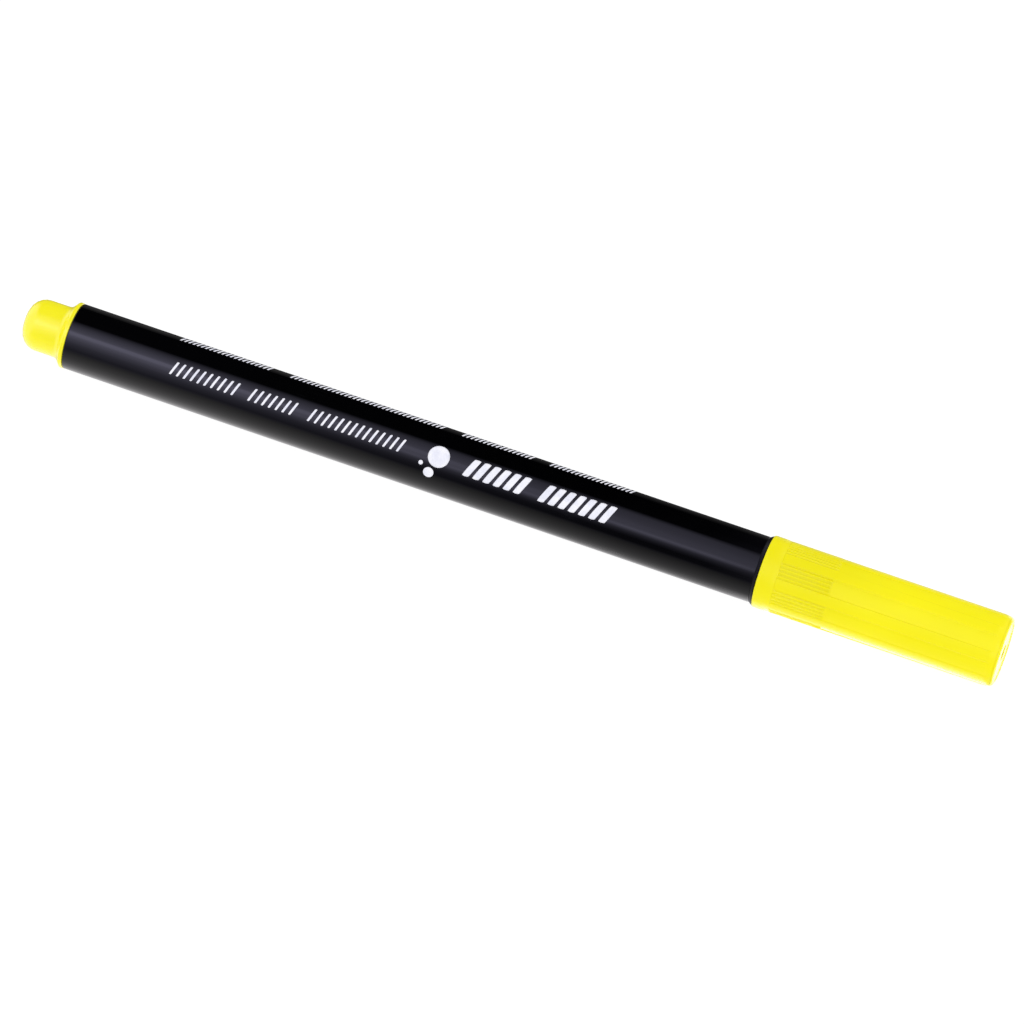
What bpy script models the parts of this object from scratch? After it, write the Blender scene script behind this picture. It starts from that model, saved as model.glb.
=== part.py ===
"""A fabric marking pen: a capped fibre-tip marker, lying on its side along X with its cap towards +X.

Every round piece is a profile of (x, radius) points in millimetres, turned about the pen's axis.
A profile runs along its outer side from the cap's end towards the tail, and back along its bore.
"""

import math

import bmesh
import bpy
from mathutils import Matrix

MM = 0.001

# Driving dimensions, in millimetres
OVERALL_LENGTH = 145.0
CAP_LENGTH = 35.1
TAIL_STUD_LENGTH = 6.6
CAP_BAND_RADIUS = 5.2
CAP_RIDGE_RADIUS = 5.15
CAP_BORE_RADIUS = 4.25
BARREL_RADIUS = 4.75
BARREL_BORE_RADIUS = 3.95
RESERVOIR_RADIUS = 3.1
NIB_RADIUS = 1.4
NIB_TIP_RADIUS = 1.0
SEATED_GAP = 0.05
PRESS_GAP = 0.05
OVERRUN = 0.2

# The cap's outside: a smooth band at the mouth, then eight sunk panels between eight plain ridges
CAP_BAND_LENGTH = 2.55
CAP_CORNER_RADIUS = 0.6
CAP_END_WALL = 1.5
CAP_END_RECESS_RADIUS = 4.3
CAP_END_RECESS_DEPTH = 0.2
CAP_VENT_RADIUS = 1.2
PANEL_COUNT = 8
PANEL_WIDTH = math.radians(26.5)
PANEL_DEPTH = 0.17
GRIP_LENGTH = 7.45
GRIP_PITCH = math.radians(6.2)
GRIP_RIB_COUNT = 4

# The collar and the tail flange, which are the only edges that stand proud of the barrel
COLLAR_RADIUS = 5.05
COLLAR_THICKNESS = 0.45
TAIL_FLANGE_RADIUS = 4.8
TAIL_FLANGE_THICKNESS = 0.5
TAIL_STUD_RADIUS = 3.7
TAIL_CORNER_RADIUS = 2.2
TAIL_CROWN = 0.1

# Stations along X, worked out from the two ends
CAP_END = OVERALL_LENGTH / 2
TAIL_END = -OVERALL_LENGTH / 2
CAP_MOUTH = CAP_END - CAP_LENGTH
COLLAR_FRONT = CAP_MOUTH - SEATED_GAP
COLLAR_BACK = COLLAR_FRONT - COLLAR_THICKNESS
BARREL_FRONT = COLLAR_BACK - SEATED_GAP
FLANGE_BACK = TAIL_END + TAIL_STUD_LENGTH
FLANGE_FRONT = FLANGE_BACK + TAIL_FLANGE_THICKNESS
BARREL_TAIL = FLANGE_FRONT + SEATED_GAP
AXIS_HEIGHT = CAP_BAND_RADIUS

# The front section, which plugs into the barrel, carries the cap and holds the nib
SPIGOT_RADIUS = BARREL_BORE_RADIUS - PRESS_GAP
SPIGOT_LEAD_LENGTH = 0.3
SPIGOT_LEAD_DEPTH = 0.2
SECTION_SPIGOT_LENGTH = 8.6
SECTION_BORE_RADIUS = RESERVOIR_RADIUS + 0.2
NECK_RADIUS = CAP_BORE_RADIUS - 0.07
NECK_BEAD_RADIUS = CAP_BORE_RADIUS - 0.03
NECK_LENGTH = 10.2
NECK_BEAD_OFFSET = 3.6
SEAL_LAND_RADIUS = 3.05
SEAL_LAND_BACK = COLLAR_FRONT + 12.1
SEAL_LAND_FRONT = COLLAR_FRONT + 14.7
NOSE_BACK_RADIUS = 2.75
NOSE_TIP_RADIUS = 2.1
NOSE_END = COLLAR_FRONT + 21.1
NIB_EXPOSED = 4.0
NIB_TIP = NOSE_END + NIB_EXPOSED
NIB_LENGTH = 25.7
FLUTE_WIDTH = math.radians(24)
FLUTE_DEPTH = 0.25

# The wick and its film, between the tail plug and the front section
PLUG_SPIGOT_LENGTH = 9.3
PLUG_HOLLOW_RADIUS = 3.1
PLUG_HOLLOW_DEPTH = 4.9
RESERVOIR_TAIL = BARREL_TAIL + PLUG_SPIGOT_LENGTH + 0.3
RESERVOIR_FRONT = COLLAR_FRONT + 5.6
WICK_RIB_RADIUS = RESERVOIR_RADIUS + 0.2
WICK_RIB_WIDTH = math.radians(10)
WICK_RIB_END_GAP = 0.4
FILM_GAP = 0.02
FILM_THICKNESS = 0.09

# The inner cap: a cup over the nib, carried by a cross of fins that reaches the cap's end wall
INNER_CAP_MOUTH = COLLAR_FRONT + 12.6
INNER_CAP_LIP_DEPTH = 2.0
INNER_CAP_RADIUS = 3.75
INNER_CAP_CAVITY_RADIUS = 2.95
INNER_CAP_LENGTH = 16.6
INNER_CAP_WALL = 1.2
FIN_THICKNESS = 0.8
FIN_RADIUS = CAP_BORE_RADIUS - PRESS_GAP
FIN_OFFSET = 4.0
LIP_GAP = 0.04

# A facet, not a corner, faces straight down, so the pen lies still on its side
SEGMENTS = 32
FACET = 2 * math.pi / SEGMENTS
ARC_STEPS = 4
SHARP_ANGLE = math.radians(32)


def clear_scene():
    for old in list(bpy.data.objects):
        bpy.data.objects.remove(old, do_unlink=True)


def new_collection(name, hidden=False):
    collection = bpy.data.collections.new(name)
    collection.hide_render = hidden
    bpy.context.scene.collection.children.link(collection)
    return collection


def plastic(name, colour, roughness):
    material = bpy.data.materials.new(name)
    material.use_nodes = True
    shader = material.node_tree.nodes["Principled BSDF"]
    shader.inputs["Base Color"].default_value = (*colour, 1.0)
    shader.inputs["Roughness"].default_value = roughness
    shader.inputs["Metallic"].default_value = 0.0
    material.diffuse_color = (*colour, 1.0)
    return material


def arc(centre_x, centre_r, radius, start, end, steps=ARC_STEPS):
    """Points of an arc in the (x, radius) plane, with angles in degrees from +x towards +radius."""
    turns = [math.radians(start + (end - start) * i / steps) for i in range(steps + 1)]
    return [(centre_x + radius * math.cos(t), centre_r + radius * math.sin(t)) for t in turns]


def put_on_axis(piece):
    """Lays a piece that was made about its own Z along the pen's axis, its Z towards the cap's end."""
    piece.rotation_euler = (0.0, math.pi / 2, 0.0)
    piece.location = (0.0, 0.0, AXIS_HEIGHT * MM)


def turned(name, profile, collection, closed=True):
    """A profile of (x, radius) points turned about the pen's axis, each radius reaching its facets' middles."""
    mesh = bpy.data.meshes.new(name)
    aside = math.tan(FACET / 2)
    points = [(r * MM, r * aside * MM, x * MM) for x, r in profile]
    edges = [(i, i + 1) for i in range(len(points) - 1)]
    if closed:
        edges.append((len(points) - 1, 0))
    mesh.from_pydata(points, edges, [])
    piece = bpy.data.objects.new(name, mesh)
    collection.objects.link(piece)
    screw = piece.modifiers.new("turn", "SCREW")
    screw.axis = "Z"
    screw.angle = 2 * math.pi
    screw.steps = SEGMENTS
    screw.render_steps = SEGMENTS
    screw.use_merge_vertices = True
    screw.merge_threshold = 0.000001
    put_on_axis(piece)
    return piece


def sectors(name, spans, inner, outer, back, front, collection):
    """A cutter: one prism for each span of angles (from the pen's underside), between two radii."""
    shape = bmesh.new()
    for start, end in spans:
        steps = max(1, round((end - start) / FACET))
        turns = [start + (end - start) * i / steps for i in range(steps + 1)]
        low = [(inner, t) for t in turns]
        high = [(outer, t) for t in reversed(turns)]
        corners = []
        for radius, turn in low + high:
            place = (radius * math.cos(turn) * MM, radius * math.sin(turn) * MM, back * MM)
            corners.append(shape.verts.new(place))
        base = shape.faces.new(corners)
        raised = bmesh.ops.extrude_face_region(shape, geom=[base])
        moved = [v for v in raised["geom"] if isinstance(v, bmesh.types.BMVert)]
        bmesh.ops.translate(shape, verts=moved, vec=(0.0, 0.0, (front - back) * MM))
    bmesh.ops.recalc_face_normals(shape, faces=shape.faces)
    return helper(name, shape, collection)


def helper(name, shape, collection):
    """Makes a hidden wire object of a bmesh, laid on the pen's axis."""
    mesh = bpy.data.meshes.new(name)
    shape.to_mesh(mesh)
    shape.free()
    tool = bpy.data.objects.new(name, mesh)
    collection.objects.link(tool)
    put_on_axis(tool)
    hide(tool)
    return tool


def hide(tool):
    tool.hide_render = True
    tool.display_type = "WIRE"


def crossed_plates(name, half_width, thickness, back, front, collection):
    """Two hidden plates that cross on the pen's axis, at 45 degrees to its underside."""
    plates = []
    for number in range(2):
        shape = bmesh.new()
        bmesh.ops.create_cube(shape, size=MM)
        size = (2 * half_width, thickness, front - back)
        bmesh.ops.scale(shape, verts=shape.verts, vec=size)
        bmesh.ops.translate(shape, verts=shape.verts, vec=(0.0, 0.0, (front + back) / 2 * MM))
        turn = Matrix.Rotation((number + 0.5) * math.pi / 2, 3, "Z")
        bmesh.ops.rotate(shape, verts=shape.verts, matrix=turn)
        plates.append(helper(f"{name}_{number}", shape, collection))
    return plates


def quarter_spans(width):
    """Four equal spans of angle, each this wide, centred between the pen's underside, sides and top."""
    centres = [(i + 0.5) * math.pi / 2 for i in range(4)]
    return [(c - width / 2, c + width / 2) for c in centres]


def boolean(piece, tool, operation):
    step = piece.modifiers.new(tool.name, "BOOLEAN")
    step.operation = operation
    step.solver = "EXACT"
    step.object = tool


def finish(piece, material):
    """Turns the modifiers into plain mesh, shades it smooth between its sharp edges and paints it."""
    graph = bpy.context.evaluated_depsgraph_get()
    mesh = bpy.data.meshes.new_from_object(piece.evaluated_get(graph))
    mesh.name = piece.name
    piece.modifiers.clear()
    piece.data = mesh
    mesh.materials.clear()
    mesh.materials.append(material)
    mesh.shade_smooth()
    mesh.set_sharp_from_angle(angle=SHARP_ANGLE)


def make_barrel(parts, cutters):
    bevel = 0.15
    lead_in = 0.3
    profile = [
        (BARREL_FRONT, BARREL_BORE_RADIUS + lead_in),
        (BARREL_FRONT, BARREL_RADIUS - bevel),
        (BARREL_FRONT - bevel, BARREL_RADIUS),
        (BARREL_TAIL + bevel, BARREL_RADIUS),
        (BARREL_TAIL, BARREL_RADIUS - bevel),
        (BARREL_TAIL, BARREL_BORE_RADIUS + lead_in),
        (BARREL_TAIL + lead_in, BARREL_BORE_RADIUS),
        (BARREL_FRONT - lead_in, BARREL_BORE_RADIUS),
    ]
    barrel = turned("barrel", profile, parts)
    spans = quarter_spans(WICK_RIB_WIDTH)
    back = BARREL_TAIL + PLUG_SPIGOT_LENGTH + WICK_RIB_END_GAP
    front = BARREL_FRONT - SECTION_SPIGOT_LENGTH - WICK_RIB_END_GAP
    root = BARREL_BORE_RADIUS + OVERRUN
    ribs = sectors("wick_ribs", spans, WICK_RIB_RADIUS, root, back, front, cutters)
    boolean(barrel, ribs, "UNION")
    finish(barrel, plastic("barrel_black", (0.012, 0.012, 0.016), 0.3))


def make_front_section(parts, cutters):
    bevel = 0.1
    nose_round = 0.3
    nose_turn = 83
    neck_step_length = 0.6
    neck_step_depth = 0.4
    bead = COLLAR_FRONT + NECK_BEAD_OFFSET
    bead_half = 0.5
    bore_taper = 1.2
    spigot_back = COLLAR_BACK - SECTION_SPIGOT_LENGTH
    neck_front = COLLAR_FRONT + NECK_LENGTH
    nib_bore = NIB_RADIUS + PRESS_GAP
    bore_floor = RESERVOIR_FRONT + 1.0
    profile = [
        (NOSE_END, nib_bore),
        *arc(NOSE_END - nose_round, NOSE_TIP_RADIUS - nose_round, nose_round, 0, nose_turn, 3),
        (SEAL_LAND_FRONT, NOSE_BACK_RADIUS),
        (SEAL_LAND_FRONT, SEAL_LAND_RADIUS - bevel),
        (SEAL_LAND_FRONT - bevel, SEAL_LAND_RADIUS),
        (SEAL_LAND_BACK, SEAL_LAND_RADIUS),
        (neck_front + neck_step_length, NECK_RADIUS - neck_step_depth),
        (neck_front, NECK_RADIUS),
        (bead + bead_half, NECK_RADIUS),
        (bead, NECK_BEAD_RADIUS),
        (bead - bead_half, NECK_RADIUS),
        (COLLAR_FRONT, NECK_RADIUS),
        (COLLAR_FRONT, COLLAR_RADIUS - bevel),
        (COLLAR_FRONT - bevel, COLLAR_RADIUS),
        (COLLAR_BACK + bevel, COLLAR_RADIUS),
        (COLLAR_BACK, COLLAR_RADIUS - bevel),
        (COLLAR_BACK, SPIGOT_RADIUS),
        (spigot_back + SPIGOT_LEAD_LENGTH, SPIGOT_RADIUS),
        (spigot_back, SPIGOT_RADIUS - SPIGOT_LEAD_DEPTH),
        (spigot_back, SECTION_BORE_RADIUS),
        (bore_floor, SECTION_BORE_RADIUS),
        (bore_floor + bore_taper, nib_bore),
    ]
    section = turned("front_section", profile, parts)
    spans = quarter_spans(FLUTE_WIDTH)
    inner = nib_bore - OVERRUN
    outer = nib_bore + FLUTE_DEPTH
    flutes = sectors("air_flutes", spans, inner, outer, bore_floor, NOSE_END + OVERRUN, cutters)
    boolean(section, flutes, "DIFFERENCE")
    finish(section, plastic("section_black", (0.012, 0.012, 0.014), 0.35))


def make_nib(parts):
    cone_back = NOSE_END + 1.3
    dome_turn = 75
    round_centre = NIB_TIP - NIB_TIP_RADIUS
    nib_back = NIB_TIP - NIB_LENGTH
    back_lead_length = 0.4
    back_lead_depth = 0.3
    profile = [
        *arc(round_centre, 0.0, NIB_TIP_RADIUS, 0, dome_turn),
        (cone_back, NIB_RADIUS),
        (nib_back + back_lead_length, NIB_RADIUS),
        (nib_back, NIB_RADIUS - back_lead_depth),
        (nib_back, 0.0),
    ]
    nib = turned("nib", profile, parts, closed=False)
    finish(nib, plastic("nib_fibre", (0.08, 0.12, 0.55), 0.9))


def make_ink_reservoir(parts):
    socket_radius = NIB_RADIUS + PRESS_GAP
    socket_end_gap = 0.3
    socket_floor = NIB_TIP - NIB_LENGTH - socket_end_gap
    profile = [
        (socket_floor, 0.0),
        (socket_floor, socket_radius),
        (RESERVOIR_FRONT, socket_radius),
        (RESERVOIR_FRONT, RESERVOIR_RADIUS),
        (RESERVOIR_TAIL, RESERVOIR_RADIUS),
        (RESERVOIR_TAIL, 0.0),
    ]
    reservoir = turned("ink_reservoir", profile, parts, closed=False)
    finish(reservoir, plastic("wick_fibre", (0.16, 0.22, 0.62), 0.95))


def make_reservoir_film(parts):
    inside = RESERVOIR_RADIUS + FILM_GAP
    outside = inside + FILM_THICKNESS
    bare_end = 0.5
    front = RESERVOIR_FRONT - bare_end
    tail = RESERVOIR_TAIL + bare_end
    profile = [(front, inside), (front, outside), (tail, outside), (tail, inside)]
    film = turned("reservoir_film", profile, parts)
    finish(film, plastic("film_clear", (0.82, 0.86, 0.9), 0.15))


def make_tail_plug(parts, cutters):
    bevel = 0.1
    hollow_draft = 0.2
    spigot_front = FLANGE_FRONT + PLUG_SPIGOT_LENGTH
    flare = TAIL_FLANGE_RADIUS - bevel - TAIL_STUD_RADIUS
    crown_edge = TAIL_END + TAIL_CROWN
    corner_centre = crown_edge + TAIL_CORNER_RADIUS
    hollow_floor = FLANGE_FRONT - PLUG_HOLLOW_DEPTH
    concave = arc(FLANGE_BACK - flare, TAIL_FLANGE_RADIUS - bevel, flare, 0, -90)
    corner = arc(corner_centre, TAIL_STUD_RADIUS - TAIL_CORNER_RADIUS, TAIL_CORNER_RADIUS, 90, 180, 5)
    profile = [
        (hollow_floor, 0.0),
        (hollow_floor, PLUG_HOLLOW_RADIUS - hollow_draft),
        (spigot_front, PLUG_HOLLOW_RADIUS),
        (spigot_front, SPIGOT_RADIUS - SPIGOT_LEAD_DEPTH),
        (spigot_front - SPIGOT_LEAD_LENGTH, SPIGOT_RADIUS),
        (FLANGE_FRONT, SPIGOT_RADIUS),
        (FLANGE_FRONT, TAIL_FLANGE_RADIUS - bevel),
        (FLANGE_FRONT - bevel, TAIL_FLANGE_RADIUS),
        (FLANGE_BACK + bevel, TAIL_FLANGE_RADIUS),
        *concave,
        *corner,
        (TAIL_END, 0.0),
    ]
    plug = turned("tail_plug", profile, parts, closed=False)
    root = PLUG_HOLLOW_RADIUS + OVERRUN
    back = hollow_floor - OVERRUN
    front = spigot_front - OVERRUN
    for rib in crossed_plates("plug_rib", root, FIN_THICKNESS, back, front, cutters):
        boolean(plug, rib, "UNION")
    finish(plug, plastic("plug_yellow", (0.95, 0.83, 0.03), 0.35))


def panel_spans():
    pitch = 2 * math.pi / PANEL_COUNT
    centres = [(i + 0.5) * pitch for i in range(PANEL_COUNT)]
    return [(c - PANEL_WIDTH / 2, c + PANEL_WIDTH / 2) for c in centres]


def groove_spans():
    """The gaps beside and between the fine grip ribs of every panel."""
    rib = GRIP_PITCH / 2
    spans = []
    for start, end in panel_spans():
        middle = (start + end) / 2
        first = middle - GRIP_PITCH * (GRIP_RIB_COUNT - 1) / 2
        ribs = [first + i * GRIP_PITCH for i in range(GRIP_RIB_COUNT)]
        lows = [start] + [r + rib / 2 for r in ribs]
        highs = [r - rib / 2 for r in ribs] + [end]
        spans += list(zip(lows, highs))
    return spans


def make_cap(parts, cutters):
    band_back = CAP_MOUTH
    band_front = CAP_MOUTH + CAP_BAND_LENGTH
    edge = 0.2
    recess_slope = 0.1
    band_step = 0.05
    mouth_lead_length = 0.4
    mouth_lead_depth = 0.25
    recess_floor = CAP_END - CAP_END_RECESS_DEPTH
    bore_end = recess_floor - CAP_END_WALL
    corner_r = CAP_RIDGE_RADIUS - CAP_CORNER_RADIUS
    profile = [
        (recess_floor, CAP_VENT_RADIUS),
        (recess_floor, CAP_END_RECESS_RADIUS - recess_slope),
        (CAP_END, CAP_END_RECESS_RADIUS),
        *arc(CAP_END - CAP_CORNER_RADIUS, corner_r, CAP_CORNER_RADIUS, 0, 90),
        (band_front + band_step, CAP_RIDGE_RADIUS),
        (band_front, CAP_BAND_RADIUS),
        (band_back + edge, CAP_BAND_RADIUS),
        (band_back, CAP_BAND_RADIUS - edge),
        (band_back, CAP_BORE_RADIUS + mouth_lead_depth),
        (band_back + mouth_lead_length, CAP_BORE_RADIUS),
        (bore_end, CAP_BORE_RADIUS),
        (bore_end, CAP_VENT_RADIUS),
    ]
    cap = turned("cap", profile, parts)
    floor = CAP_RIDGE_RADIUS - PANEL_DEPTH
    clear = CAP_BAND_RADIUS + OVERRUN
    start = band_front + 2 * band_step
    grip_end = start + GRIP_LENGTH
    groove_end = grip_end + OVERRUN
    panel_end = CAP_END + OVERRUN
    grooves = sectors("grip_grooves", groove_spans(), floor, clear, start, groove_end, cutters)
    panels = sectors("panels", panel_spans(), floor, clear, grip_end, panel_end, cutters)
    boolean(cap, grooves, "DIFFERENCE")
    boolean(cap, panels, "DIFFERENCE")
    finish(cap, plastic("cap_yellow", (0.95, 0.83, 0.02), 0.3))


def make_inner_cap(parts, cutters):
    cup_end = INNER_CAP_MOUTH + INNER_CAP_LENGTH
    fin_front = CAP_END - CAP_END_RECESS_DEPTH - CAP_END_WALL - PRESS_GAP
    fin_back = INNER_CAP_MOUTH + FIN_OFFSET
    chamfer = 0.3
    draft = 0.1
    lip = SEAL_LAND_RADIUS + LIP_GAP
    lip_end = INNER_CAP_MOUTH + INNER_CAP_LIP_DEPTH
    cavity_end = cup_end - INNER_CAP_WALL
    open_end = INNER_CAP_MOUTH - draft
    outside = [
        (cup_end, 0.0),
        (cup_end, INNER_CAP_RADIUS - chamfer),
        (cup_end - chamfer, INNER_CAP_RADIUS),
        (INNER_CAP_MOUTH, INNER_CAP_RADIUS),
        (INNER_CAP_MOUTH, 0.0),
    ]
    inside = [
        (cavity_end, 0.0),
        (cavity_end, INNER_CAP_CAVITY_RADIUS - draft),
        (lip_end + draft, INNER_CAP_CAVITY_RADIUS),
        (lip_end, lip),
        (INNER_CAP_MOUTH + chamfer, lip),
        (open_end, lip + chamfer),
        (open_end, 0.0),
    ]
    cup = turned("inner_cap", outside, parts, closed=False)
    for fin in crossed_plates("fin", FIN_RADIUS, FIN_THICKNESS, fin_back, fin_front, cutters):
        boolean(cup, fin, "UNION")
    cavity = turned("inner_cap_cavity", inside, cutters, closed=False)
    hide(cavity)
    boolean(cup, cavity, "DIFFERENCE")
    finish(cup, plastic("inner_cap_natural", (0.86, 0.86, 0.82), 0.5))


def main():
    clear_scene()
    parts = new_collection("fabric_marking_pen")
    cutters = new_collection("cutters", hidden=True)
    make_barrel(parts, cutters)
    make_front_section(parts, cutters)
    make_nib(parts)
    make_ink_reservoir(parts)
    make_reservoir_film(parts)
    make_tail_plug(parts, cutters)
    make_cap(parts, cutters)
    make_inner_cap(parts, cutters)


main()
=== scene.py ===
import math

import bpy
import numpy as np
from mathutils import Matrix, Vector


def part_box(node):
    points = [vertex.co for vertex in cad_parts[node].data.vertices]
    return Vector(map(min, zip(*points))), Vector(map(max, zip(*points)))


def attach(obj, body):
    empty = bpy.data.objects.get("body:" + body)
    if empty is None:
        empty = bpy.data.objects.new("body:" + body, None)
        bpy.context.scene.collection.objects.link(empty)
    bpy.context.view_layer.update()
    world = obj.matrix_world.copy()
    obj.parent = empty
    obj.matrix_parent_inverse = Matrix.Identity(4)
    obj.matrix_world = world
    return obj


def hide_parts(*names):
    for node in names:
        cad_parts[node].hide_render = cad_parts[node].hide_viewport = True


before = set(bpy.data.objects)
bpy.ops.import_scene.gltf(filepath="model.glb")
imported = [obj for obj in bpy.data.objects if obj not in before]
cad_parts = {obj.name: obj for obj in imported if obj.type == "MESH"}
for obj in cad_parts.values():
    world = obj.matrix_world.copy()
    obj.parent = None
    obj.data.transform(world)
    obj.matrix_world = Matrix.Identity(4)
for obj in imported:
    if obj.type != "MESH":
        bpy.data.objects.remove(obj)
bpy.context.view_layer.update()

# ---------------------------------------------------------------------------------------------
# The studio: a light table under the pen, a wide softbox overhead in front, and a dark back wall.
# The room is a world whose glow depends on direction, because a glossy tube shows nothing else.
# ---------------------------------------------------------------------------------------------
RAMP_WHITE = 5.0


class Out:
    """One output of a node. Arithmetic on it adds Math nodes, so a formula reads as it is written."""

    def __init__(self, nodes, socket):
        self.nodes = nodes
        self.socket = socket

    def out(self, name):
        """Another output of the same node."""
        return Out(self.nodes, self.socket.node.outputs[name])

    def math(self, operation, *others):
        """A Math node whose values are this output and the others."""
        values = dict(enumerate([self, *others]))
        return self.nodes.add("ShaderNodeMath", {"operation": operation}, values)

    def within(self, low, high):
        """0 below low, 1 above high, and a smooth step between them."""
        values = {"Value": self, "From Min": low, "From Max": high}
        return self.nodes.add("ShaderNodeMapRange", {"interpolation_type": "SMOOTHSTEP"}, values)

    def __add__(self, other):
        return self.math("ADD", other)

    def __radd__(self, other):
        return self.math("ADD", other)

    def __sub__(self, other):
        return self.math("SUBTRACT", other)

    def __rsub__(self, other):
        return self.math("MULTIPLY_ADD", -1.0, other)

    def __mul__(self, other):
        return self.math("MULTIPLY", other)

    def __rmul__(self, other):
        return self.math("MULTIPLY", other)

    def __neg__(self):
        return self.math("MULTIPLY", -1.0)


class Nodes:
    """The node tree of a material or a world. Every node is made by add, settings first, then inputs."""

    def __init__(self, owner):
        owner.use_nodes = True
        self.tree = owner.node_tree
        self.tree.nodes.clear()

    def add(self, kind, settings, inputs, output=0):
        """A new node, with these settings and these values or links. Gives one of its outputs."""
        node = self.tree.nodes.new(kind)
        for name, value in settings.items():
            if name == "stops":
                self.set_stops(node.color_ramp.elements, value)
            else:
                setattr(node, name, value)
        for name, value in inputs.items():
            if isinstance(value, Out):
                self.tree.links.new(value.socket, node.inputs[name])
            else:
                node.inputs[name].default_value = value
        return Out(self, node.outputs[output]) if node.outputs else None

    def set_stops(self, elements, stops):
        """Gives a colour ramp these stops, each a position and a colour, in rising order."""
        elements.remove(elements[1])
        elements[0].position, elements[0].color = stops[0]
        for position, colour in stops[1:]:
            elements.new(position).color = colour

    def mix(self, factor, first, second, blend_type="MIX"):
        """A colour that goes from first to second as the factor goes from 0 to 1."""
        settings = {"data_type": "RGBA", "blend_type": blend_type}
        return self.add("ShaderNodeMix", settings, {0: factor, 6: first, 7: second}, output=2)

    def noise(self, place, scale, detail, stretch=(1.0, 1.0, 1.0)):
        """Cloudy noise from 0 to 1. Its grains are about 1/scale metres, longer where stretch is small."""
        moved = self.add("ShaderNodeMapping", {}, {"Vector": place, "Scale": stretch})
        values = {"Vector": moved, "Scale": scale, "Detail": detail}
        return self.add("ShaderNodeTexNoise", {}, values)

    def object_place(self):
        return self.add("ShaderNodeTexCoord", {}, {}, output="Object")

    def bump(self, height, strength, distance):
        values = {"Height": height, "Strength": strength, "Distance": distance}
        return self.add("ShaderNodeBump", {}, values)

    def surface(self, values):
        """Ends a material: a Principled shader with these inputs, on the material's output."""
        shader = self.add("ShaderNodeBsdfPrincipled", {}, values)
        self.add("ShaderNodeOutputMaterial", {}, {"Surface": shader})


def grey(level):
    return (level, level, level, 1.0)


def glow_ramp(nodes, turn, levels):
    """Brightness against height angle: 0 is level in front, 90 straight up, -90 straight down."""
    stops = [(angle / 360 + 0.5, grey(level / RAMP_WHITE)) for angle, level in levels.items()]
    return nodes.add("ShaderNodeValToRGB", {"stops": stops}, {"Fac": turn})


def studio_glow(nodes):
    """The light from each direction, as a share of RAMP_WHITE.

    It is brightness against height angle, with one ramp for each stretch of x. The sheet below glows
    up to about 0 degrees, the softbox hangs from 30 to 90, and the wall behind it is dark. The left
    wall is even, a pale card lies low behind the cap's end, and a lamp shines on that end.
    """
    direction = nodes.add("ShaderNodeTexCoord", {}, {}, output="Generated")
    x = nodes.add("ShaderNodeSeparateXYZ", {}, {"Vector": direction})
    y = x.out("Y")
    z = x.out("Z")
    turn = z.math("ARCTAN2", -y) * (0.5 / math.pi) + 0.5

    over_tail = {
        -180: 0.05, -160: 0.13, -141: 0.07, -125: 0.2, -101: 1.1, -81: 1.35, -61: 1.3, -41: 1.0,
        -21: 0.7, -1: 0.42, 10: 0.28, 29: 0.6, 45: 1.15, 57: 1.8, 62: 2.5, 69: 2.6, 75: 1.5,
        96: 0.65, 110: 0.02, 165: 0.01,
    }
    over_front = {
        -180: 0.015, -160: 0.06, -141: 0.07, -125: 0.2, -101: 1.1, -81: 0.95, -61: 0.75, -41: 0.58,
        -21: 0.42, -1: 0.22, 8: 0.03, 22: 0.01, 30: 0.12, 40: 0.45, 50: 1.6, 59: 1.0, 80: 0.78,
        100: 0.62, 113: 0.0, 165: 0.0,
    }
    over_cap = {
        -180: 0.1, -160: 0.3, -141: 0.6, -125: 0.9, -101: 2.6, -85: 3.6, -69: 3.5, -57: 2.0,
        -48: 0.9, -37: 0.7, -21: 0.6, -5: 0.4, 11: 0.3, 27: 0.4, 43: 0.4, 59: 0.8, 75: 0.85,
        91: 0.6, 107: 0.28, 139: 0.12,
    }
    at_right = {
        -180: 0.2, -141: 0.35, -101: 0.6, -61: 0.7, -21: 0.4, 20: 0.3, 45: 1.4, 75: 1.5, 100: 0.5,
        135: 0.9, 165: 0.3,
    }
    left_wall = 1.3
    glow = nodes.mix(
        x.within(-0.22, -0.12), glow_ramp(nodes, turn, over_tail), glow_ramp(nodes, turn, over_front)
    )
    glow = nodes.mix(x.within(-0.117, -0.108), glow, glow_ramp(nodes, turn, over_cap))
    glow = nodes.mix(x.within(0.0, 0.04), glow, glow_ramp(nodes, turn, at_right))
    glow = nodes.mix((-x).within(0.5, 0.8), glow, grey(left_wall / RAMP_WHITE))

    card = 1.7
    card_width = x.within(0.0, 0.04) * (1 - x.within(0.3, 0.5))
    card_area = card_width * (-z).within(0.3, 0.5) * y.within(0.0, 0.2)
    glow = nodes.mix(card_area, glow, grey(card / RAMP_WHITE))

    lamp = 5.5
    towards_lamp = {0: direction, 1: (0.754, 0.302, -0.583)}
    facing = nodes.add("ShaderNodeVectorMath", {"operation": "DOT_PRODUCT"}, towards_lamp, output="Value")
    glow = nodes.mix(facing.within(0.84, 0.95), glow, grey(lamp / RAMP_WHITE))

    warm_sheet = (1.0, 0.98, 1.0, 1.0)
    cool_softbox = (0.90, 0.87, 1.2, 1.0)
    tint = nodes.mix(z.within(-0.1, 0.2), warm_sheet, cool_softbox)
    return nodes.mix(1.0, glow, tint, blend_type="MULTIPLY")


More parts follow.
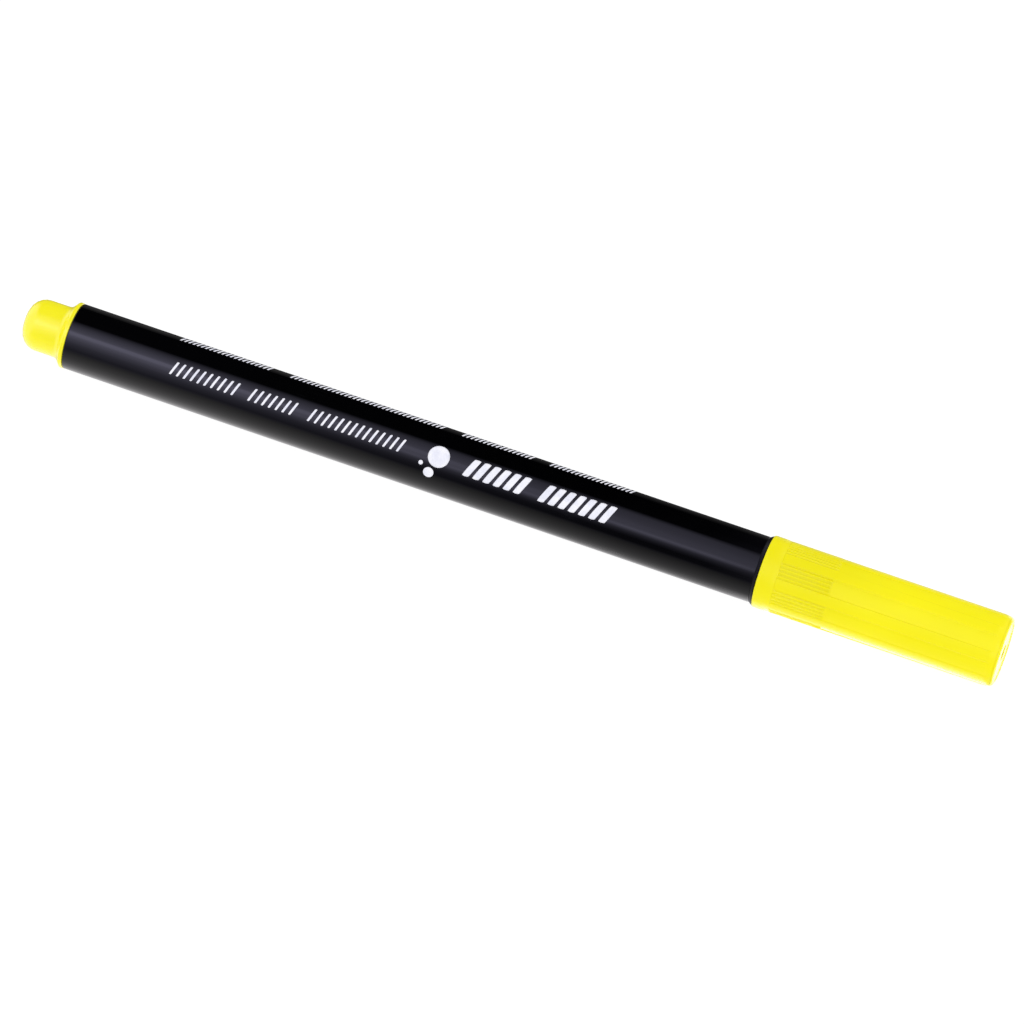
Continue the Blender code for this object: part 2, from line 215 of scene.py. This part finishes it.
def build_world():
    """Seen by the camera it is white, by matt surfaces a soft dome, and by glossy ones the studio."""
    world = bpy.data.worlds.new("studio")
    bpy.context.scene.world = world
    nodes = Nodes(world)
    dome = (1.03, 1.03, 1.05, 1.0)
    studio = nodes.add("ShaderNodeBackground", {}, {"Color": studio_glow(nodes), "Strength": RAMP_WHITE})
    soft = nodes.add("ShaderNodeBackground", {}, {"Color": dome, "Strength": 1.0})
    white = nodes.add("ShaderNodeBackground", {}, {"Color": grey(1.0), "Strength": 1.02})
    ray = nodes.add("ShaderNodeLightPath", {}, {})
    matt = nodes.add("ShaderNodeMixShader", {}, {0: ray.out("Is Glossy Ray"), 1: soft, 2: studio})
    seen = nodes.add("ShaderNodeMixShader", {}, {0: ray.out("Is Camera Ray"), 1: matt, 2: white})
    nodes.add("ShaderNodeOutputWorld", {}, {"Surface": seen})


def build_table():
    """A pale glowing sheet, flat at z = 0, that glossy surfaces look through into the studio."""
    half = 4.0
    mesh = bpy.data.meshes.new("light_table")
    corners = [(-half, -half, 0.0), (half, -half, 0.0), (half, half, 0.0), (-half, half, 0.0)]
    mesh.from_pydata(corners, [], [(0, 1, 2, 3)])
    table = bpy.data.objects.new("light_table", mesh)
    bpy.context.scene.collection.objects.link(table)
    material = bpy.data.materials.new("opal_sheet")
    nodes = Nodes(material)
    nodes.surface({
        "Base Color": grey(0.12),
        "Roughness": 1.0,
        "Specular IOR Level": 0.0,
        "Emission Color": grey(1.0),
        "Emission Strength": 0.96,
    })
    mesh.materials.append(material)
    table.visible_glossy = False


def build_camera():
    """A long lens from above the front right, leaning a few degrees, aimed at the pen's middle."""
    place = Vector((0.15124, -0.50985, 0.85206))
    aim = Vector((0.000867, -0.001002, 0.0))
    lean = math.radians(4.756)
    data = bpy.data.cameras.new("camera")
    data.lens = 253.1
    data.clip_start = 0.05
    data.clip_end = 10.0
    camera = bpy.data.objects.new("camera", data)
    bpy.context.scene.collection.objects.link(camera)
    facing = (aim - place).to_track_quat("-Z", "Y").to_matrix() @ Matrix.Rotation(lean, 3, "Z")
    camera.location = place
    camera.rotation_euler = facing.to_euler()
    bpy.context.scene.camera = camera


build_world()
build_table()
build_camera()
bpy.context.scene.view_settings.view_transform = "Standard"

# ---------------------------------------------------------------------------------------------
# The barrel: an extruded polypropylene tube, true and plain, with its two rims just broken.
# Black right through, glossy, with faint lengthwise draw lines from the die and hairline scuffs.
# ---------------------------------------------------------------------------------------------
MM = 0.001


def reach(node):
    """Where a CAD piece begins and ends along the pen, and its widest radius, in millimetres."""
    low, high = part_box(node)
    return round(low.x / MM, 3), round(high.x / MM, 3), round((high.y - low.y) / 2 / MM, 3)


BARREL_TAIL, BARREL_FRONT, BARREL_RADIUS = reach("barrel")
BORE_RADIUS = 3.95
# The pen lies on its cap, so its axis is one cap radius above the table
AXIS = reach("cap")[2]


def rounded(corners, closed=True):
    """The chain of points (x, r) along straight sides whose corners (x, r, setback) are rounded.

    From A, one setback before the corner P, to B, one setback after it, a point is
    ((1-t)^2 A + 2wt(1-t) P + t^2 B) / ((1-t)^2 + 2wt(1-t) + t^2), with w the cosine of half the turn,
    which is a circle's arc. One more point stands `hold` outside each end, to keep the sides flat.
    """
    steps = 6
    hold = 0.02
    corners = np.array(corners, float)
    if closed:
        corners = np.vstack([corners[-1], corners, corners[0]])
    place = corners[:, :2]
    setback = corners[1:-1, 2:]
    side = np.diff(place, axis=0)
    side /= np.linalg.norm(side, axis=1, keepdims=True)
    into = side[:-1]
    away = side[1:]
    start = (place[1:-1] - into * setback)[:, None]
    end = (place[1:-1] + away * setback)[:, None]
    weight = np.sqrt(np.maximum(0.0, 1 + (into * away).sum(1)) / 2)[:, None, None]
    t = np.linspace(0, 1, steps + 1)[None, :, None]
    first, middle, last = (1 - t) ** 2, 2 * weight * t * (1 - t), t**2
    arc = (first * start + middle * place[1:-1, None] + last * end) / (first + middle + last)
    before = start - hold * into[:, None]
    after = end + hold * away[:, None]
    chain = np.concatenate([before, arc, after], axis=1).reshape(-1, 2)
    return chain if closed else np.vstack([place[0], chain, place[-1]])


def turned(name, x, r):
    """A closed surface about the pen's axis, from a column x and a table r with a column for each angle.

    A point is (x, -r cos a, AXIS + r sin a), a = 2 pi j / columns. A first and last row with r = 0
    shrink to poles. If they don't, the last row joins the first.
    """
    angle = np.arange(r.shape[1]) * 2 * np.pi / r.shape[1]
    place = np.stack(np.broadcast_arrays(x, -r * np.cos(angle), AXIS + r * np.sin(angle)), axis=-1) * MM
    poles = r[0].max() == 0.0
    body = place[1:-1] if poles else place
    index = np.arange(body[..., 0].size).reshape(body.shape[:2])
    rows = index if poles else np.vstack([index, index[:1]])
    beside = np.roll(rows, -1, axis=1)
    faces = np.stack([rows[:-1], beside[:-1], beside[1:], rows[1:]], axis=-1).reshape(-1, 4).tolist()
    points = body.reshape(-1, 3)
    if poles:
        first = np.full(r.shape[1], len(points))
        points = np.vstack([points, place[0, 0], place[-1, 0]])
        faces += np.stack([first, beside[0], rows[0]], axis=-1).tolist()
        faces += np.stack([first + 1, rows[-1], beside[-1]], axis=-1).tolist()
    mesh = bpy.data.meshes.new(name)
    mesh.from_pydata(points.tolist(), [], faces)
    mesh.shade_smooth()
    piece = bpy.data.objects.new(name, mesh)
    bpy.context.scene.collection.objects.link(piece)
    return piece


def plain_turned(name, corners, columns, closed=True):
    """A rounded profile turned with the same radius all the way round."""
    chain = rounded(corners, closed)
    return turned(name, chain[:, :1], np.repeat(chain[:, 1:], columns, axis=1))


def black_plastic(name, gloss, shine):
    """Nearly black, with draw lines and hairline scuffs along the pen and a faint bloom of handling."""
    jet = (0.0002, 0.0002, 0.0004, 1.0)
    scratched = (0.005, 0.005, 0.007, 1.0)
    material = bpy.data.materials.new(name)
    nodes = Nodes(material)
    place = nodes.object_place()
    draw_lines = nodes.noise(place, 2600, 2.0, stretch=(0.01, 1.0, 1.0))
    bloom = nodes.noise(place, 90, 3.0)
    hair = nodes.noise(place, 500, 4.0, stretch=(0.06, 1.0, 1.0))
    worn = bloom.within(0.55, 0.75)
    scuff = (1 - (hair - 0.5).math("ABSOLUTE").within(0.0, 0.012)) * worn
    nodes.surface({
        "Base Color": nodes.mix(scuff * 0.3, jet, scratched),
        "Roughness": gloss + bloom * 0.05 + scuff * 0.12,
        "IOR": 1.49,
        "Specular IOR Level": shine,
        "Normal": nodes.bump(draw_lines + bloom * 0.3, 0.3, 0.00001),
    })
    return material


def build_barrel():
    lead_in = 0.3
    corners = [
        (BARREL_FRONT, BORE_RADIUS + lead_in, 0.05),
        (BARREL_FRONT, BARREL_RADIUS, 0.04),
        (BARREL_TAIL, BARREL_RADIUS, 0.13),
        (BARREL_TAIL, BORE_RADIUS + lead_in, 0.05),
        (BARREL_TAIL + lead_in, BORE_RADIUS, 0.05),
        (BARREL_FRONT - lead_in, BORE_RADIUS, 0.05),
    ]
    barrel = plain_turned("barrel_tube", corners, 256)
    barrel.data.materials.append(black_plastic("black_tube", gloss=0.04, shine=0.5))
    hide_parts("barrel")
    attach(barrel, "pen")


build_barrel()

# ---------------------------------------------------------------------------------------------
# The print: one layer of white ink, a few hundredths of a millimetre thick, pad printed on the
# barrel. Its marks are plain rows of slanted stitches and three dots, which say nothing.
# ---------------------------------------------------------------------------------------------


def stitches(spans, pitch, height, half_width, slant, middle):
    """Slanted marks in spans of x: their centres and half axes, as arrays of (x, arc length).

    A mark's centre is at x = start + pitch/2 + k pitch, `middle` degrees round the barrel. Its half
    axes are (half_width, 0) and (slant height/2, height/2). Its roundness is a quarter of a dot's.
    """
    roundness = 0.25
    starts = [np.arange(low + pitch / 2, high, pitch) for low, high in spans]
    x = np.concatenate(starts)
    centre = np.stack([x, np.full_like(x, math.radians(middle) * BARREL_RADIUS)], axis=1)
    along = np.tile([half_width, 0.0], (len(x), 1))
    across = np.tile([slant * height / 2, height / 2], (len(x), 1))
    return centre, along, across, np.full(len(x), roundness)


def dots(places, sizes):
    """Round marks at (x, degrees round the barrel), each with its radius."""
    places = np.array(places, float)
    centre = np.stack([places[:, 0], np.radians(places[:, 1]) * BARREL_RADIUS], axis=1)
    radius = np.array(sizes, float)[:, None]
    return centre, radius * [1.0, 0.0], radius * [0.0, 1.0], np.ones(len(radius))


def white_ink():
    """Pad-printed ink: chalky, a little uneven, with pinholes that the pad leaves."""
    thin = (0.80, 0.81, 0.90, 1.0)
    full = (0.93, 0.93, 0.97, 1.0)
    material = bpy.data.materials.new("white_ink")
    nodes = Nodes(material)
    place = nodes.object_place()
    pinholes = nodes.noise(place, 5000, 2.0)
    patchy = nodes.noise(place, 700, 3.0)
    nodes.surface({
        "Base Color": nodes.mix(patchy.within(0.3, 0.7), thin, full),
        "Roughness": 0.42 + pinholes * 0.15,
        "Normal": nodes.bump(pinholes, 0.2, 0.00001),
    })
    return material


def build_print():
    """Each mark is a patch c + A u sqrt(1 - k v^2/2) + B v sqrt(1 - k u^2/2), for u and v from -1 to 1.

    With k = 1 that is an ellipse, with k = 0 a parallelogram. The patch is then wrapped on the
    barrel: arc length s becomes the angle s / radius, and Solidify gives the ink its thickness.
    """
    proud = 0.02
    thickness = 0.035
    bold = stitches(
        [(-5.9, 3.0), (5.2, 15.4)], pitch=1.5, height=2.7, half_width=0.5, slant=0.42, middle=64.0
    )
    fine = stitches(
        [(-49.9, -40.0), (-38.2, -30.9), (-29.3, -15.0)],
        pitch=1.02, height=1.95, half_width=0.17, slant=0.35, middle=62.0,
    )
    tiny = stitches(
        [(-50.4, -36.6), (-33.9, -10.9), (-8.3, 2.0), (4.7, 16.9)],
        pitch=0.62, height=1.5, half_width=0.13, slant=0.3, middle=131.0,
    )
    round_marks = dots([(-10.0, 64.5), (-12.2, 46.0), (-10.8, 33.5)], [1.55, 0.32, 0.75])
    centre, along, across, k = (np.concatenate(part) for part in zip(bold, fine, tiny, round_marks))
    side = np.linspace(-1, 1, 9)
    v, u = np.meshgrid(side, side, indexing="ij")
    bend_u = u * np.sqrt(1 - k[:, None, None] * v**2 / 2)
    bend_v = v * np.sqrt(1 - k[:, None, None] * u**2 / 2)
    flat = (
        centre[:, None, None]
        + along[:, None, None] * bend_u[..., None]
        + across[:, None, None] * bend_v[..., None]
    )
    radius = BARREL_RADIUS + proud
    turn = flat[..., 1] / BARREL_RADIUS
    place = np.stack([flat[..., 0], -radius * np.cos(turn), AXIS + radius * np.sin(turn)], axis=-1) * MM
    index = np.arange(turn.size).reshape(turn.shape)
    faces = np.stack([index[:, :-1, :-1], index[:, :-1, 1:], index[:, 1:, 1:], index[:, 1:, :-1]], axis=-1)
    mesh = bpy.data.meshes.new("print")
    mesh.from_pydata(place.reshape(-1, 3).tolist(), [], faces.reshape(-1, 4).tolist())
    mesh.shade_smooth()
    mesh.materials.append(white_ink())
    ink = bpy.data.objects.new("print", mesh)
    bpy.context.scene.collection.objects.link(ink)
    solid = ink.modifiers.new("thickness", "SOLIDIFY")
    solid.thickness = thickness * MM
    solid.offset = -1.0
    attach(ink, "pen")


build_print()

# ---------------------------------------------------------------------------------------------
# The front section: a moulded black piece pressed into the barrel, which carries the cap on its
# neck and grips the nib in its nose. Its collar is the thin ring between the barrel and the cap.
# ---------------------------------------------------------------------------------------------
SECTION_BACK, NOSE_END, COLLAR_RADIUS = reach("front_section")
COLLAR_BACK = BARREL_FRONT + 0.02
COLLAR_FRONT = BARREL_FRONT + 0.5
SPIGOT_RADIUS = BORE_RADIUS - 0.05


def build_front_section():
    """The bore's radius grows by d clip((13 - |a - 45 - 90n|) / 2, 0, 1), in degrees, at the nose's mouth.

    So each of the four air flutes beside the nib deepens from nothing at the bore's back to d.
    """
    nib_bore = 1.45
    wick_bore = 3.3
    bore_back = COLLAR_FRONT + 7.8
    neck = 4.18
    bead = COLLAR_FRONT + 3.6
    shoulder = COLLAR_FRONT + 10.2
    seal_land = 3.05
    seal_back = COLLAR_FRONT + 12.1
    seal_front = COLLAR_FRONT + 14.7
    corners = [
        (NOSE_END, nib_bore, 0.06),
        (NOSE_END, 2.1, 0.28),
        (seal_front, 2.75, 0.1),
        (seal_front, seal_land, 0.1),
        (seal_back, seal_land, 0.06),
        (shoulder + 0.6, 3.78, 0.1),
        (shoulder, neck, 0.15),
        (bead + 0.5, neck, 0.1),
        (bead, neck + 0.04, 0.2),
        (bead - 0.5, neck, 0.1),
        (COLLAR_FRONT, neck, 0.04),
        (COLLAR_FRONT, COLLAR_RADIUS, 0.08),
        (COLLAR_BACK, BARREL_RADIUS - 0.01, 0.03),
        (COLLAR_BACK, SPIGOT_RADIUS, 0.04),
        (SECTION_BACK + 0.3, SPIGOT_RADIUS, 0.05),
        (SECTION_BACK, SPIGOT_RADIUS - 0.2, 0.05),
        (SECTION_BACK, wick_bore, 0.05),
        (bore_back - 1.2, wick_bore, 0.05),
        (bore_back, nib_bore, 0.05),
    ]
    columns = 240
    flute_depth = 0.25
    chain = rounded(corners)
    x = chain[:, :1]
    r = chain[:, 1:]
    angle = np.arange(columns) * 360 / columns
    flute = np.clip((13 - np.abs(angle % 90 - 45)) / 2, 0, 1) * flute_depth
    in_nose = (r < nib_bore + 0.01) & (x > bore_back + 1)
    section = turned("nib_holder", x, np.repeat(r, columns, axis=1) + flute * in_nose)
    section.data.materials.append(black_plastic("black_moulding", gloss=0.26, shine=0.12))
    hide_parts("front_section")
    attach(section, "pen")


build_front_section()

# ---------------------------------------------------------------------------------------------
# The nib: a rod of bonded acrylic fibre, ground to a blunt cone with a round tip 2 mm across.
# Its fibres run lengthwise, and blue ink has soaked it unevenly.
# ---------------------------------------------------------------------------------------------
NIB_BACK, NIB_TIP, NIB_RADIUS = reach("nib")


def fibre(name, pale, soaked, grain):
    """Fine lengthwise fibres that lift the surface, with ink gathered between them."""
    material = bpy.data.materials.new(name)
    nodes = Nodes(material)
    place = nodes.object_place()
    strands = nodes.noise(place, grain, 3.0, stretch=(0.08, 1.0, 1.0))
    soak = nodes.noise(place, 260, 3.0)
    nodes.surface({
        "Base Color": nodes.mix((strands * 0.6 + soak * 0.4).within(0.35, 0.62), soaked, pale),
        "Roughness": 0.72 + strands * 0.2,
        "Normal": nodes.bump(strands, 0.6, 0.00004),
    })
    return material


def build_nib():
    chamfer = 0.3
    corners = [
        (NIB_TIP, 0.0, 0.0),
        (NIB_TIP, 1.03, 0.85),
        (NOSE_END + 1.3, NIB_RADIUS, 0.3),
        (NIB_BACK + chamfer + 0.1, NIB_RADIUS, 0.1),
        (NIB_BACK, NIB_RADIUS - chamfer, 0.1),
        (NIB_BACK, 0.0, 0.0),
    ]
    pale = (0.10, 0.17, 0.62, 1.0)
    soaked = (0.02, 0.035, 0.30, 1.0)
    nib = plain_turned("fibre_nib", corners, 96, closed=False)
    nib.data.materials.append(fibre("nib_fibre", pale, soaked, 9000))
    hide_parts("nib")
    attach(nib, "pen")


build_nib()

# ---------------------------------------------------------------------------------------------
# The ink reservoir: a long wick of crimped polyester fibre, socketed over the nib's back end.
# It is soft and hairy, and paler than the nib, because its ink is spread through far more fibre.
# ---------------------------------------------------------------------------------------------
WICK_TAIL, WICK_FRONT, WICK_RADIUS = reach("ink_reservoir")


def build_reservoir():
    socket_floor = NIB_BACK - 0.3
    socket_radius = NIB_RADIUS + 0.05
    corners = [
        (socket_floor, 0.0, 0.0),
        (socket_floor, socket_radius, 0.1),
        (WICK_FRONT, socket_radius, 0.1),
        (WICK_FRONT, WICK_RADIUS, 0.15),
        (WICK_TAIL, WICK_RADIUS, 0.15),
        (WICK_TAIL, 0.0, 0.0),
    ]
    pale = (0.34, 0.42, 0.80, 1.0)
    soaked = (0.10, 0.15, 0.55, 1.0)
    wick = plain_turned("fibre_wick", corners, 96, closed=False)
    wick.data.materials.append(fibre("wick_fibre", pale, soaked, 6000))
    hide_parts("ink_reservoir")
    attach(wick, "pen")


build_reservoir()

# ---------------------------------------------------------------------------------------------
# The reservoir's film: a clear sleeve of thin polypropylene, wrapped round the wick and welded.
# It is smooth and a little wrinkled lengthwise.
# ---------------------------------------------------------------------------------------------


def clear_film():
    """Glossy and mostly see-through, duller and less clear along its wrinkles."""
    material = bpy.data.materials.new("clear_film")
    nodes = Nodes(material)
    wrinkles = nodes.noise(nodes.object_place(), 700, 2.0, stretch=(0.1, 1.0, 1.0))
    nodes.surface({
        "Base Color": (0.9, 0.93, 0.96, 1.0),
        "Roughness": 0.08 + wrinkles * 0.15,
        "Alpha": 0.25 + wrinkles * 0.15,
        "Normal": nodes.bump(wrinkles, 0.3, 0.00005),
    })
    return material


def build_film():
    tail, front, outside = reach("reservoir_film")
    inside = WICK_RADIUS + 0.02
    corners = [(front, inside, 0.01), (front, outside, 0.01), (tail, outside, 0.01), (tail, inside, 0.01)]
    film = plain_turned("film_sleeve", corners, 96)
    film.data.materials.append(clear_film())
    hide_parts("reservoir_film")
    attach(film, "pen")


build_film()

# ---------------------------------------------------------------------------------------------
# The tail plug: a yellow moulding pressed into the barrel's tail, with a thin flange against the
# tube and a domed stud behind it. The plastic is soft polypropylene, so light creeps through it.
# ---------------------------------------------------------------------------------------------
PLUG_END, PLUG_FRONT, FLANGE_RADIUS = reach("tail_plug")


def yellow_plastic(nodes, place, painted_shade, deep, light, gloss, shine):
    """A clear strong yellow, with flow marks from the mould, a fine skin and a few dull rubs.

    The third argument is painted shade: the colour is mostly the deep one at 1 and the light one at 0.
    """
    flow = nodes.noise(place, 120, 2.0, stretch=(0.5, 1.0, 1.0))
    skin = nodes.noise(place, 3500, 3.0)
    rubs = nodes.noise(place, 300, 4.0, stretch=(0.3, 1.0, 1.0))
    nodes.surface({
        # Painted shade: the third argument pulls the colour towards the deep yellow
        "Base Color": nodes.mix(flow.within(0.3, 0.7) * 0.3 + (1 - painted_shade) * 0.7, deep, light),
        "Roughness": gloss + rubs * 0.1,
        "IOR": 1.49,
        "Specular IOR Level": shine,
        "Subsurface Weight": 0.12,
        "Subsurface Radius": (1.0, 0.8, 0.1),
        "Subsurface Scale": 0.0012,
        "Normal": nodes.bump(skin + rubs * 0.5, 0.12, 0.00002),
    })


def build_tail_plug():
    stud_radius = 3.72
    crown = 0.05
    hollow_floor = PLUG_END + 2.7
    flange_front = BARREL_TAIL - 0.05
    flange_back = flange_front - 0.5
    corners = [
        (hollow_floor, 0.0, 0.0),
        (hollow_floor, 2.9, 0.1),
        (PLUG_FRONT, 3.1, 0.1),
        (PLUG_FRONT, SPIGOT_RADIUS - 0.2, 0.05),
        (PLUG_FRONT - 0.3, SPIGOT_RADIUS, 0.05),
        (flange_front, SPIGOT_RADIUS, 0.03),
        (flange_front, FLANGE_RADIUS, 0.09),
        (flange_back, FLANGE_RADIUS, 0.09),
        (flange_back - 0.85, stud_radius, 0.55),
        (PLUG_END + crown, stud_radius, 2.4),
        (PLUG_END, 0.0, 0.0),
    ]
    plug = plain_turned("tail_stud", corners, 192, closed=False)
    material = bpy.data.materials.new("yellow_plug")
    nodes = Nodes(material)
    deep = (0.96, 0.86, 0.0, 1.0)
    light = (1.0, 0.905, 0.003, 1.0)
    yellow_plastic(nodes, nodes.object_place(), 0.0, deep, light, gloss=0.15, shine=0.8)
    plug.data.materials.append(material)
    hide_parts("tail_plug")
    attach(plug, "pen")


build_tail_plug()

# ---------------------------------------------------------------------------------------------
# The cap: a yellow moulding with a plain band at its mouth and eight sunk panels between eight
# ridges. Four fine ribs start each panel as a grip, and a vent hole goes through its sunk end.
# ---------------------------------------------------------------------------------------------
CAP_MOUTH, CAP_END, CAP_RADIUS = reach("cap")
BAND_END = CAP_MOUTH + 2.55
GRIP_END = BAND_END + 7.55
RIDGE_RADIUS = 5.15
PANEL_RADIUS = 4.98


def cap_profile():
    """The cap without its panels: the sunk end, the round corner, the ridges, the band and the bore."""
    vent = 1.2
    bore = 4.25
    recess = CAP_END - 0.12
    wall = CAP_END - 1.7
    return rounded([
        (recess, vent, 0.04),
        (recess, 4.2, 0.05),
        (CAP_END, 4.3, 0.04),
        (CAP_END, 4.78, 0.42),
        (CAP_END - 0.95, RIDGE_RADIUS, 0.58),
        (GRIP_END, RIDGE_RADIUS, 0.35),
        (BAND_END + 0.1, RIDGE_RADIUS, 0.03),
        (BAND_END, RIDGE_RADIUS - 0.03, 0.04),
        (BAND_END - 0.65, CAP_RADIUS, 0.4),
        (CAP_MOUTH, CAP_RADIUS, 0.2),
        (CAP_MOUTH, 4.5, 0.05),
        (CAP_MOUTH + 0.4, bore, 0.05),
        (wall, bore, 0.1),
        (wall, vent, 0.05),
    ])


def cap_yellow():
    """Painted shade, deeper in the grooves and over the mouth's half, where the black neck is behind the
    wall.
    """
    neck_end = 44.0 * MM
    clear_from = 58.5 * MM
    material = bpy.data.materials.new("yellow_cap")
    nodes = Nodes(material)
    place = nodes.object_place()
    along = nodes.add("ShaderNodeSeparateXYZ", {}, {"Vector": place})
    groove = nodes.add("ShaderNodeAttribute", {"attribute_name": "groove"}, {}, output="Fac")
    # Painted shade: the colour is darkened over the mouth's half and along the grip's grooves
    painted_shade = (1 - along.within(neck_end, clear_from)) * 0.55 + groove * 0.55
    deep = (0.85, 0.77, 0.0, 1.0)
    light = (1.0, 0.89, 0.0, 1.0)
    yellow_plastic(nodes, place, painted_shade, deep, light, gloss=0.17, shine=0.35)
    return material


def build_cap():
    """r = c - max(0, c - f) P (1 - G Z) Y, with c the plain profile and f the panels' floor.

    P is 1 within 12.8 degrees of a panel's middle and 0 beyond 13.9, G is the four ribs' cosine waves,
    Z is 1 along the grip and Y rises from 0 to 1 just past the band. The floor f rises a little
    towards the cap's end, as the mould's cores are drawn off that way. The attribute "groove" is how
    far the grip is sunk, as a share of how far the panels are sunk; the cap's colour darkens with it
    as painted shade in the grooves.
    """
    columns = 640
    rib_pitch = 6.4
    draft = 0.1
    chain = cap_profile()
    x = chain[:, :1]
    c = chain[:, 1:]
    angle = np.arange(columns) * 360 / columns
    from_middle = angle % 45 - 22.5
    panel = np.clip((13.9 - np.abs(from_middle)) / 1.1, 0, 1)
    wave = 0.5 + 0.5 * np.cos(2 * np.pi * (from_middle / rib_pitch - 0.5))
    ribs = wave * (np.abs(from_middle) < 2 * rib_pitch)
    floor = PANEL_RADIUS + draft * np.clip((x - GRIP_END) / (CAP_END - GRIP_END), 0, 1)
    along_grip = 1 - np.clip((x - GRIP_END + 0.15) / 0.3, 0, 1)
    past_band = np.clip((x - BAND_END - 0.08) / 0.12, 0, 1)
    sunk = np.maximum(0.0, c - floor) * panel * (1 - ribs * along_grip) * past_band
    cap = turned("cap_shell", x, c - sunk)
    # The grooves' share of sinking, which the cap's colour uses as painted shade in the grooves
    cut = sunk * along_grip / (RIDGE_RADIUS - PANEL_RADIUS)
    groove = cap.data.attributes.new("groove", "FLOAT", "POINT")
    groove.data.foreach_set("value", cut.astype(np.float32).ravel())
    cap.data.materials.append(cap_yellow())
    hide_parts("cap")
    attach(cap, "cap")


build_cap()

# ---------------------------------------------------------------------------------------------
# The inner cap: a soft cup of natural polyethylene that seals round the nib, held on the cap's
# axis by four fins that reach the cap's bore and its end wall.
# ---------------------------------------------------------------------------------------------
CUP_MOUTH, FIN_END, CUP_RADIUS = reach("inner_cap")
CUP_END = CUP_MOUTH + 16.6


def milky_plastic():
    """Waxy and cloudy, with light soaking well into it."""
    dull = (0.78, 0.79, 0.74, 1.0)
    clear = (0.88, 0.88, 0.85, 1.0)
    material = bpy.data.materials.new("natural_polyethylene")
    nodes = Nodes(material)
    place = nodes.object_place()
    cloud = nodes.noise(place, 400, 3.0)
    skin = nodes.noise(place, 4000, 2.0)
    nodes.surface({
        "Base Color": nodes.mix(cloud, dull, clear),
        "Roughness": 0.42 + cloud * 0.12,
        "Subsurface Weight": 0.4,
        "Subsurface Radius": (1.0, 0.9, 0.8),
        "Subsurface Scale": 0.0015,
        "Normal": nodes.bump(skin, 0.1, 0.00002),
    })
    return material


def build_cup(material):
    lip = 3.09
    floor = CUP_END - 1.2
    corners = [
        (CUP_END, 0.0, 0.0),
        (CUP_END, CUP_RADIUS, 0.3),
        (CUP_MOUTH, CUP_RADIUS, 0.08),
        (CUP_MOUTH, 3.35, 0.04),
        (CUP_MOUTH + 0.3, lip, 0.1),
        (CUP_MOUTH + 2.0, lip, 0.1),
        (CUP_MOUTH + 2.1, 2.95, 0.03),
        (floor, 2.85, 0.15),
        (floor, 0.0, 0.0),
    ]
    cup = plain_turned("inner_cup", corners, 128, closed=False)
    cup.data.materials.append(material)
    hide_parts("inner_cap")
    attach(cup, "cap")


def build_fins(material):
    """Two crossed plates, each a box x0 to x1 by +-w by +-t turned 45 degrees either way, with bevels."""
    low = np.array([CUP_END - 0.6, 0.0, 0.0])
    span = np.array([FIN_END - low[0], 4.19, 0.4])
    corner = np.array(np.meshgrid([0, 1], [-1, 1], [-1, 1], indexing="ij")).reshape(3, -1).T
    sides = [(0, 1, 3, 2), (4, 6, 7, 5), (0, 4, 5, 1), (2, 3, 7, 6), (0, 2, 6, 4), (1, 5, 7, 3)]
    x, across, through = (low + corner * span).T
    points = []
    faces = []
    for number in range(2):
        tilt = math.radians(45 + 90 * number)
        y = across * math.cos(tilt) - through * math.sin(tilt)
        z = across * math.sin(tilt) + through * math.cos(tilt)
        points += (np.stack([x, y, AXIS + z], axis=1) * MM).tolist()
        faces += [tuple(8 * number + i for i in side) for side in sides]
    mesh = bpy.data.meshes.new("inner_fins")
    mesh.from_pydata(points, [], faces)
    mesh.materials.append(material)
    fins = bpy.data.objects.new("inner_fins", mesh)
    bpy.context.scene.collection.objects.link(fins)
    edges = fins.modifiers.new("edges", "BEVEL")
    edges.width = 0.05 * MM
    edges.segments = 2
    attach(fins, "cap")


natural = milky_plastic()
build_cup(natural)
build_fins(natural)
